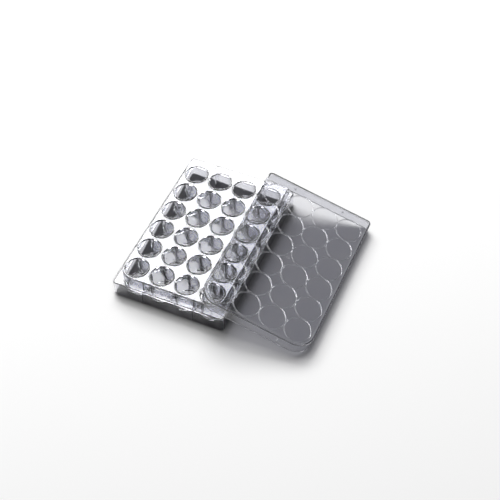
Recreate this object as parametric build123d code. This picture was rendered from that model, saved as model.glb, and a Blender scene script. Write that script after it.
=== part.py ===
from build123d import *
import os
from math import asin, cos, degrees, sqrt

# A clear 24-well culture plate with its lid taken off and leaning on it, in millimetres.
# X runs across the short side, Y along the long side, Z up. The short side with the two
# rounded corners faces -Y. The origin is under the middle of the whole set, at table height.

# Foot: the standard plate footprint, a skirt that is open underneath
base_width = 85.48
base_length = 127.76
foot_height = 12.5
foot_wall = 1.3
foot_corner = 3.0
foot_edge_round = 0.4         # outer edge of the ledge's top

# Deck: the raised top that carries the wells, set in from the foot by a ledge
plate_height = 20.27          # table to the tops of the well rims
ledge_width = 3.2
ledge_thickness = 1.4
deck_wall = 1.2
deck_thickness = 1.5
rounded_corner = 10.6         # two deck corners on the -Y side
square_corner = 1.2           # two deck corners on the +Y side
deck_edge_round = 1.0

# Wells
columns = 4
rows = 6
pitch = 19.3
front_margin = 13.78          # foot's -Y face to the centres of the first row
well_mouth = 16.26            # bore at the top
well_taper = 0.66             # how much narrower the bore is at the floor
well_depth = 17.4
floor_thickness = 1.6
cup_wall = 0.92
rim_height = 0.5              # rim above the deck
rim_round = 0.25

# Base sheet: the wells' floors are one flat web that joins all the cups, scalloped round them
sheet_reach = 4.5             # centres of the outer wells to the straight edges between cups
sheet_lip = 0.9               # beyond the cups' walls
sheet_scallop = 2.0           # hollow corners where a cup's round meets a straight edge
sheet_round = 0.4             # lower outside edge

# Gussets: thin upright webs inside both short sides, between columns 1-2 and 3-4
gusset_thickness = 0.6
gusset_reach = 2.5            # inward from the deck wall

# Lid
lid_height = 9.0              # skirt edge to top face
lid_wall = 1.2
lid_top = 1.3
lid_edge_round = 0.7          # top outer edge
lid_clearance = 0.7           # skirt to deck wall when the lid is on
ridge_width = 1.5             # stacking ridge around the top face
ridge_height = 0.5
ring_clearance = 0.15         # condensation ring to well rim when the lid is on
ring_wall = 0.6
ring_height = 0.6
ring_round = 0.25             # both lower edges
gate_diameter = 2.2
gate_height = 0.3
pip_diameter = 1.3
pip_height = 0.4

# Leaning lid
lid_overlap = 17.6            # strip of deck that the lid covers, from the +X deck edge
lid_slip = -0.4               # lid's sideways offset from the plate, along Y
rest_gap = 0.03               # air left where the lid rests

# Sizes that follow
deck_width = base_width - 2 * ledge_width
deck_length = base_length - 2 * ledge_width
deck_top = plate_height - rim_height
rim_radius = well_mouth / 2 + cup_wall
cup_bottom = plate_height - well_depth - floor_thickness
floor_radius = (well_mouth - well_taper) / 2
cup_bottom_radius = floor_radius + cup_wall
first_row_y = front_margin - base_length / 2
skirt_offset = lid_clearance + lid_wall
lid_width = deck_width + 2 * skirt_offset
lid_length = deck_length + 2 * skirt_offset
ring_radius = rim_radius + ring_clearance
lid_slope = plate_height / lid_width      # about how steeply the lid leans


def column_x(column):
    return (column - (columns - 1) / 2) * pitch


def row_y(row):
    return first_row_y + row * pitch


def well_places():
    return [(column_x(column), row_y(row)) for row in range(rows) for column in range(columns)]


def gap_places():
    """X of the gaps between columns 1-2, 3-4 and so on."""
    return [column_x(column) + pitch / 2 for column in range(0, columns - 1, 2)]


def outline(width, length, front_radius, back_radius):
    """Rectangle with its -Y corners and its +Y corners rounded by different radii."""
    shape = Rectangle(width, length)
    shape = fillet(shape.vertices().group_by(Axis.Y)[0], front_radius)
    return fillet(shape.vertices().group_by(Axis.Y)[-1], back_radius)


def block(width, length, front_radius, back_radius, bottom, top):
    """Upright block on the outline, between two heights."""
    return Pos(0, 0, bottom) * extrude(outline(width, length, front_radius, back_radius), top - bottom)


def deck_block(inset, bottom, top):
    """Block that follows the deck's outline, a given distance inside it."""
    return block(
        deck_width - 2 * inset,
        deck_length - 2 * inset,
        rounded_corner - inset,
        max(square_corner - inset, square_corner / 2),
        bottom,
        top,
    )


def foot_block(inset, bottom, top):
    corner = foot_corner - inset
    return block(base_width - 2 * inset, base_length - 2 * inset, corner, corner, bottom, top)


def make_shell():
    """Foot, ledge, deck wall and deck as one thin moulding, open underneath."""
    foot = foot_block(0, 0, foot_height)
    foot = fillet(foot.faces().sort_by(Axis.Z)[-1].edges(), foot_edge_round)
    deck = deck_block(0, 0, deck_top)
    deck = fillet(deck.faces().sort_by(Axis.Z)[-1].edges(), deck_edge_round)
    foot_hollow = foot_block(foot_wall, 0, foot_height - ledge_thickness)
    deck_hollow = deck_block(deck_wall, 0, deck_top - deck_thickness)
    return foot + deck - foot_hollow - deck_hollow


def make_cup():
    """One well: a slightly tapered cup with a flat floor and a raised, rounded rim."""
    section = Polygon(
        (0, cup_bottom),
        (cup_bottom_radius, cup_bottom),
        (rim_radius, plate_height),
        (well_mouth / 2, plate_height),
        (floor_radius, cup_bottom + floor_thickness),
        (0, cup_bottom + floor_thickness),
        align=None,
    )
    for radius in (rim_radius, well_mouth / 2):
        corner = section.vertices().sort_by_distance((radius, plate_height))[0]
        section = fillet(corner, rim_round)
    return revolve(Plane.XZ * section, Axis.Z)


def make_sheet():
    """Base sheet between the cups, with the cups' places left out."""
    width = (columns - 1) * pitch + 2 * sheet_reach
    length = (rows - 1) * pitch + 2 * sheet_reach
    middle_y = (row_y(0) + row_y(rows - 1)) / 2
    web = Pos(0, middle_y) * Rectangle(width, length)
    web += [Pos(x, y) * Circle(cup_bottom_radius + sheet_lip) for x, y in well_places()]
    web = fillet(web.vertices(), sheet_scallop)
    sheet = extrude(Pos(0, 0, cup_bottom) * web, floor_thickness)
    outside = sheet.faces().sort_by(Axis.Z)[0].outer_wire().edges()
    sheet = fillet(outside, sheet_round)
    hole = Pos(0, 0, cup_bottom) * Cylinder(cup_bottom_radius - cup_wall / 2, 3 * floor_thickness)
    return sheet - [Pos(x, y, 0) * hole for x, y in well_places()]


def make_gussets():
    """Webs that stiffen both short sides, from the walls inward between the cups."""
    top = deck_top - deck_thickness / 2
    foot_end = base_length / 2 - foot_wall / 2
    deck_end = deck_length / 2 - deck_wall / 2
    inner_end = deck_length / 2 - deck_wall - gusset_reach
    ledge_under = foot_height - ledge_thickness / 2
    gussets = []
    for x in gap_places():
        for side in (-1, 1):
            for outer_end, height in ((foot_end, ledge_under), (deck_end, top)):
                web = Box(gusset_thickness, outer_end - inner_end, height)
                middle = side * (outer_end + inner_end) / 2
                gussets.append(Pos(x, middle, height / 2) * web)
    return gussets


def make_plate():
    """Well plate: the shell, the cups hanging from its deck and the sheet that joins their floors."""
    hole_radius = well_mouth / 2 + cup_wall / 2
    hole = Pos(0, 0, deck_top - deck_thickness / 2) * Cylinder(hole_radius, 3 * deck_thickness)
    shell = make_shell() - [Pos(x, y, 0) * hole for x, y in well_places()]
    cup = make_cup()
    cups = [Pos(x, y, 0) * cup for x, y in well_places()]
    return shell + cups + make_sheet() + make_gussets()


def lid_block(inset, bottom, top):
    """Block that follows the lid's outline, which runs parallel to the deck's."""
    return deck_block(inset - skirt_offset, bottom, top)


def make_ring():
    """Condensation ring under the lid's top face, around the place of one well rim."""
    ceiling = lid_height - lid_top
    root = ceiling + lid_top / 2
    crest = ceiling - ring_height
    middle = (ring_radius + ring_wall / 2, (root + crest) / 2)
    section = Pos(*middle) * Rectangle(ring_wall, root - crest)
    section = fillet(section.vertices().group_by(Axis.Y)[0], ring_round)
    return revolve(Plane.XZ * section, Axis.Z)


def make_pips():
    """Small round pips inside the skirt's short sides that centre the lid."""
    pip = Rot(90, 0, 0) * Cylinder(pip_diameter / 2, lid_wall + 2 * pip_height)
    inner_face = lid_length / 2 - lid_wall
    height = lid_height / 2
    return [Pos(x, side * (inner_face + lid_wall / 2 - pip_height / 2), height) * pip
            for x in gap_places() for side in (-1, 1)]


def make_lid():
    """Lid in its own frame: skirt edge at Z 0, as it would stand on a table."""
    body = lid_block(0, 0, lid_height + ridge_height)
    body = fillet(body.faces().sort_by(Axis.Z)[-1].edges(), lid_edge_round)
    body -= lid_block(ridge_width, lid_height, lid_height + 2 * ridge_height)
    body -= lid_block(lid_wall, 0, lid_height - lid_top)
    ring = make_ring()
    rings = [Pos(x, y, 0) * ring for x, y in well_places()]
    gate = Pos(0, 0, lid_height) * Cylinder(gate_diameter / 2, 2 * gate_height)
    return body + rings + gate + make_pips()


def skirt_on_rim(rim_x, rim_y):
    """Where the inside of the skirt's rounded corner crosses a well rim, in the lid's frame."""
    corner = rounded_corner + skirt_offset
    middle = Vector(corner - lid_width / 2, corner - lid_length / 2)
    between = Vector(rim_x, rim_y) - middle
    skirt_radius = corner - lid_wall
    along = (skirt_radius ** 2 - rim_radius ** 2 + between.length ** 2) / (2 * between.length)
    across = sqrt(max(skirt_radius ** 2 - along ** 2, 0))
    forward = between.normalized()
    point = middle + forward * along + Vector(-forward.Y, forward.X) * across
    return Vector(point.X, point.Y, plate_height)


def skirt_on_deck():
    """Where the inside of the skirt's rounded corner crosses the deck's front edge."""
    corner = rounded_corner + skirt_offset
    flat_end = deck_length / 2 - deck_edge_round
    corner_drop = flat_end + lid_slip - (lid_length / 2 - corner)
    run = sqrt(max((corner - lid_wall) ** 2 - corner_drop ** 2, 0))
    drop_along_skirt = lid_slope * corner_drop / max(run, deck_edge_round)
    lift = deck_edge_round * (sqrt(1 + drop_along_skirt ** 2) - 1)
    x = min(lid_width / 2 - corner + run, lid_width / 2 - lid_wall)
    return Vector(-x, -flat_end - lid_slip, deck_top + lift)


def rest_lid():
    """Place of the lid when it leans: three points of its skirt edge touch something.

    The inside of its rounded front corner sits on the first well's rim or on the deck's
    front edge, whichever holds it higher, its -X edge on the rim of the last well, and the
    far end of its +X edge on the table.
    """
    last_x = column_x(columns - 1) - (deck_width / 2 - lid_overlap)
    first_rim = skirt_on_rim(last_x / cos(asin(lid_slope)) - lid_width / 2, row_y(0) - lid_slip)
    front = max((first_rim, skirt_on_deck()), key=lambda point: point.Z + lid_slope * point.X)
    half_chord = sqrt(max(rim_radius ** 2 - (last_x - lid_wall) ** 2, 0))
    back = Vector(lid_wall - lid_width / 2, row_y(rows - 1) + half_chord - lid_slip, plate_height)
    on_table = Vector(lid_width / 2, lid_length / 2 - square_corner - skirt_offset, 0)
    normal = (back - front).cross(on_table - front)
    slope_x = normal.X / normal.Z
    slope_y = normal.Y / normal.Z
    tilt = asin(slope_x)
    twist = -asin(slope_y / cos(tilt))
    x = deck_width / 2 - lid_overlap + lid_width / 2 * cos(tilt)
    z = slope_x * on_table.X + slope_y * on_table.Y + rest_gap
    return Pos(x, lid_slip, z) * Rot(0, degrees(tilt), 0) * Rot(degrees(twist), 0, 0)


well_plate = make_plate()
lid = rest_lid() * make_lid()
box = well_plate.bounding_box().add(lid.bounding_box())
to_origin = Pos(-box.center().X, -box.center().Y, -box.min.Z)

os.makedirs("parts", exist_ok=True)
for name, piece in (("well_plate", well_plate), ("lid", lid)):
    export_step(to_origin * piece, f"parts/{name}.step")
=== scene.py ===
import math

import bpy
from mathutils import Matrix, Vector


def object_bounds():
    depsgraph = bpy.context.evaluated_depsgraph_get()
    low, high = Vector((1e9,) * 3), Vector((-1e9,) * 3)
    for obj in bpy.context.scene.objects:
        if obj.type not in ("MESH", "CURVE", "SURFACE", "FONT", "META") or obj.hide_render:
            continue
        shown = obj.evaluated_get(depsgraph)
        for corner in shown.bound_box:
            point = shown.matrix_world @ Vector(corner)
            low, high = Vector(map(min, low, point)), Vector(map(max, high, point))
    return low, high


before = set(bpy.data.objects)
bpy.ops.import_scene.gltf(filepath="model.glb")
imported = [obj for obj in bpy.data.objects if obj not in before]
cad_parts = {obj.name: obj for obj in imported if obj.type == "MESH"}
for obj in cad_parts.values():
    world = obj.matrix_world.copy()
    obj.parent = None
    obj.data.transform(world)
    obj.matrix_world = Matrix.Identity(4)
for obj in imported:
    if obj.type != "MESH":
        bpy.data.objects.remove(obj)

CAD_BOX = [list(corner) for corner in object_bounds()]

scene = bpy.context.scene


# Camera: degrees, metres and millimetres of lens.

CAMERA_AZIMUTH = 24.915
CAMERA_ELEVATION = 50.511
CAMERA_ROLL = -1.377
CAMERA_DISTANCE = 0.8378
CAMERA_AIM = Vector((0.00284, 0.00237, 0.0100))
CAMERA_LENS = 84.33
CAMERA_SENSOR = 36.0
CAMERA_CLIP = (0.01, 50.0)

# Floor, lights and world: metres, and brightness as a multiple of white.

FLOOR_SIZE = 8.0
FLOOR_RISE = 0.0001             # keeps a bright line off the foot's lower edge
FLOOR_ALBEDO = 0.94
FLOOR_ROUGHNESS = 0.9
FLOOR_SPECULAR = 0.1

SOFTBOX_HEIGHT = 2.0
SOFTBOXES = {                   # left, right, front, back, brightness
    "softbox_back_left": (-2.7, -0.38, 0.8, 2.6, 8.5),
    "softbox_top": (-1.1, 0.3, 0.0, 1.1, 4.0),
}
WORLD_BRIGHTNESS = 0.15

LIGHT_BOUNCES = 24
GLOSSY_BOUNCES = 8

# Clear moulded plastic: noise in waves a metre, heights and radii in metres.

REFRACTION = 1.59
TINTS = ((0.98, 0.98, 1.0), (0.94, 0.945, 0.985))
TINT_WAVES = (70, 70, 70)
GLOSS = (0.01, 0.045)           # roughness of the faces
GLOSS_WAVES = (190, 60, 190)
DRIFT_DETAIL = 3.0              # of tint and gloss
FLOW_DETAIL = 1.0
NOISE_MIDDLE = (0.3, 0.7)       # where nearly all of the noise lies
EDGE_SAMPLES = 4
EDGE_TURN = (0.98, 0.85)        # cosine of a normal's turn, on a face and on an edge
EDGE_ROUGHNESS = 0.45
ABSORPTION = (0.50, 0.505, 0.52)


def direction(azimuth, elevation):
    """Unit vector from the object towards a place at that azimuth and elevation."""
    a, e = math.radians(azimuth), math.radians(elevation)
    return Vector((math.sin(a) * math.cos(e), -math.cos(a) * math.cos(e), math.sin(e)))


def make_camera():
    back = direction(CAMERA_AZIMUTH, CAMERA_ELEVATION)
    right = (-back).cross(Vector((0, 0, 1))).normalized()
    up = back.cross(right)
    roll = math.radians(CAMERA_ROLL)
    x = right * math.cos(roll) + up * math.sin(roll)
    y = up * math.cos(roll) - right * math.sin(roll)
    data = bpy.data.cameras.new("camera")
    data.lens = CAMERA_LENS
    data.sensor_width = CAMERA_SENSOR
    data.clip_start, data.clip_end = CAMERA_CLIP
    camera = bpy.data.objects.new("camera", data)
    scene.collection.objects.link(camera)
    turn = Matrix((x, y, back)).transposed().to_4x4()
    place = CAMERA_AIM + back * CAMERA_DISTANCE
    camera.matrix_world = Matrix.Translation(place) @ turn
    scene.camera = camera


def make_floor():
    mesh = bpy.data.meshes.new("floor")
    h = FLOOR_SIZE / 2
    z = CAD_BOX[0][2] + FLOOR_RISE
    mesh.from_pydata([(-h, -h, z), (h, -h, z), (h, h, z), (-h, h, z)], [], [(0, 1, 2, 3)])
    floor = bpy.data.objects.new("floor", mesh)
    scene.collection.objects.link(floor)
    material = bpy.data.materials.new("floor")
    material.use_nodes = True
    shader = material.node_tree.nodes["Principled BSDF"]
    shader.inputs["Base Color"].default_value = (FLOOR_ALBEDO, FLOOR_ALBEDO, FLOOR_ALBEDO, 1)
    shader.inputs["Roughness"].default_value = FLOOR_ROUGHNESS
    shader.inputs["Specular IOR Level"].default_value = FLOOR_SPECULAR
    mesh.materials.append(material)


def make_softbox(name, left, right, front, back, brightness):
    """A level area light overhead."""
    data = bpy.data.lights.new(name, "AREA")
    data.shape = "RECTANGLE"
    data.size = right - left
    data.size_y = back - front
    data.energy = brightness * data.size * data.size_y * math.pi
    lamp = bpy.data.objects.new(name, data)
    scene.collection.objects.link(lamp)
    lamp.location = ((left + right) / 2, (front + back) / 2, SOFTBOX_HEIGHT)


def make_world():
    world = bpy.data.worlds.new("studio")
    world.use_nodes = True
    background = world.node_tree.nodes["Background"]
    background.inputs["Color"].default_value = (1, 1, 1, 1)
    background.inputs["Strength"].default_value = WORLD_BRIGHTNESS
    scene.world = world


def add_node(tree, kind, values=None, **settings):
    """A new node with its settings, and with the values of its unlinked inputs."""
    node = tree.nodes.new("ShaderNode" + kind)
    for name, value in settings.items():
        setattr(node, name, value)
    for socket, value in (values or {}).items():
        node.inputs[socket].default_value = value
    return node


def noise(tree, waves, detail):
    """Noise from 0 to 1 over the object's own coordinates."""
    place = add_node(tree, "TexCoord")
    mapping = add_node(tree, "Mapping", {"Scale": waves})
    texture = add_node(tree, "TexNoise", {"Scale": 1.0, "Detail": detail})
    tree.links.new(place.outputs["Object"], mapping.inputs["Vector"])
    tree.links.new(mapping.outputs["Vector"], texture.inputs["Vector"])
    return texture.outputs["Fac"]


def map_range(tree, value, source, target):
    """The value, with the source's two ends moved to the target's and held there."""
    ramp = add_node(tree, "MapRange", {
        "From Min": source[0], "From Max": source[1],
        "To Min": target[0], "To Max": target[1],
    })
    tree.links.new(value, ramp.inputs["Value"])
    return ramp.outputs["Result"]


def mix_colour(tree, factor, low, high):
    """Each end is a colour, or a socket that gives one."""
    mix = add_node(tree, "Mix", data_type="RGBA")
    tree.links.new(factor, mix.inputs["Factor"])
    for end, colour in (("A", low), ("B", high)):
        if isinstance(colour, tuple):
            mix.inputs[end].default_value = (*colour, 1)
        else:
            tree.links.new(colour, mix.inputs[end])
    return mix.outputs["Result"]


def moulded_edges(tree, radius):
    """1 on the edges that the moulding leaves a little rounded and dull, 0 on the faces. On the
    plate the same mask also lays painted shade on these edges.
    """
    bevel = add_node(tree, "Bevel", {"Radius": radius}, samples=EDGE_SAMPLES)
    geometry = add_node(tree, "NewGeometry")
    turn = add_node(tree, "VectorMath", operation="DOT_PRODUCT")
    tree.links.new(bevel.outputs["Normal"], turn.inputs[0])
    tree.links.new(geometry.outputs["Normal"], turn.inputs[1])
    return map_range(tree, turn.outputs["Value"], EDGE_TURN, (0.0, 1.0))


def clear_plastic(name, flow_waves, flow_height, lamp_share, density,
                  edge_radius, edge_tint_and_painted_shade, edge_clearness):
    """Clear moulded plastic.

    flow_waves and flow_height are the flow marks' waves and depth. lamp_share is the
    colour of the lamp light that each face lets straight through. density is how
    strongly the inside absorbs light. The edges have their own clearness and colour:
    on the plate a dark grey that is painted shade, on the lid the plastic's light tint.
    """
    material = bpy.data.materials.new(name)
    material.use_nodes = True
    tree = material.node_tree
    shader = tree.nodes["Principled BSDF"]
    output = tree.nodes["Material Output"]
    shader.inputs["IOR"].default_value = REFRACTION
    edges = moulded_edges(tree, edge_radius)

    drift = map_range(tree, noise(tree, TINT_WAVES, DRIFT_DETAIL), NOISE_MIDDLE, (0.0, 1.0))
    tint = mix_colour(tree, drift, *TINTS)
    # On the plate this lays painted shade, a dark grey, over every edge; the lid's edges keep
    # the plastic's light tint.
    colour = mix_colour(tree, edges, tint, edge_tint_and_painted_shade)
    tree.links.new(colour, shader.inputs["Base Color"])

    smear = map_range(tree, noise(tree, GLOSS_WAVES, DRIFT_DETAIL), NOISE_MIDDLE, GLOSS)
    roughness = add_node(tree, "Mix", {"B": EDGE_ROUGHNESS})
    tree.links.new(edges, roughness.inputs["Factor"])
    tree.links.new(smear, roughness.inputs["A"])
    tree.links.new(roughness.outputs["Result"], shader.inputs["Roughness"])

    clearness = map_range(tree, edges, (0.0, 1.0), (1.0, edge_clearness))
    tree.links.new(clearness, shader.inputs["Transmission Weight"])

    bump = add_node(tree, "Bump", {"Strength": 1.0, "Distance": flow_height})
    tree.links.new(noise(tree, flow_waves, FLOW_DETAIL), bump.inputs["Height"])
    tree.links.new(bump.outputs["Normal"], shader.inputs["Normal"])

    through = add_node(tree, "BsdfTransparent", {"Color": (*lamp_share, 1)})
    path = add_node(tree, "LightPath")
    surface = add_node(tree, "MixShader")
    tree.links.new(path.outputs["Is Shadow Ray"], surface.inputs["Fac"])
    tree.links.new(shader.outputs["BSDF"], surface.inputs[1])
    tree.links.new(through.outputs["BSDF"], surface.inputs[2])
    tree.links.new(surface.outputs["Shader"], output.inputs["Surface"])

    inside = add_node(tree, "VolumeAbsorption", {"Color": (*ABSORPTION, 1), "Density": density})
    tree.links.new(inside.outputs["Volume"], output.inputs["Volume"])
    return material


def dress(node, material):
    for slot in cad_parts[node].material_slots:
        slot.material = material


make_camera()
make_floor()
for name, (left, right, front, back, brightness) in SOFTBOXES.items():
    make_softbox(name, left, right, front, back, brightness)
make_world()

scene.view_settings.view_transform = "Standard"
scene.cycles.max_bounces = LIGHT_BOUNCES
scene.cycles.transmission_bounces = LIGHT_BOUNCES
scene.cycles.glossy_bounces = GLOSSY_BOUNCES
scene.cycles.caustics_reflective = False
scene.cycles.caustics_refractive = False

dress("well_plate", clear_plastic(
    "clear_plate",
    flow_waves=(150, 35, 80),
    flow_height=0.0003,
    lamp_share=(0.28, 0.28, 0.29),
    density=25.0,
    edge_radius=0.0003,
    # painted shade: dark grey on all of the plate's edges, standing in for the dark outlines
    # that its clear walls show
    edge_tint_and_painted_shade=(0.4, 0.4, 0.42),
    edge_clearness=0.8,
))
dress("lid", clear_plastic(
    "clear_lid",
    flow_waves=(60, 60, 60),
    flow_height=0.00005,
    lamp_share=(0.54, 0.54, 0.565),
    density=150.0,
    edge_radius=0.0005,
    # the lid's edges take the plastic's own light tint
    edge_tint_and_painted_shade=(0.98, 0.98, 1.0),
    edge_clearness=0.5,
))
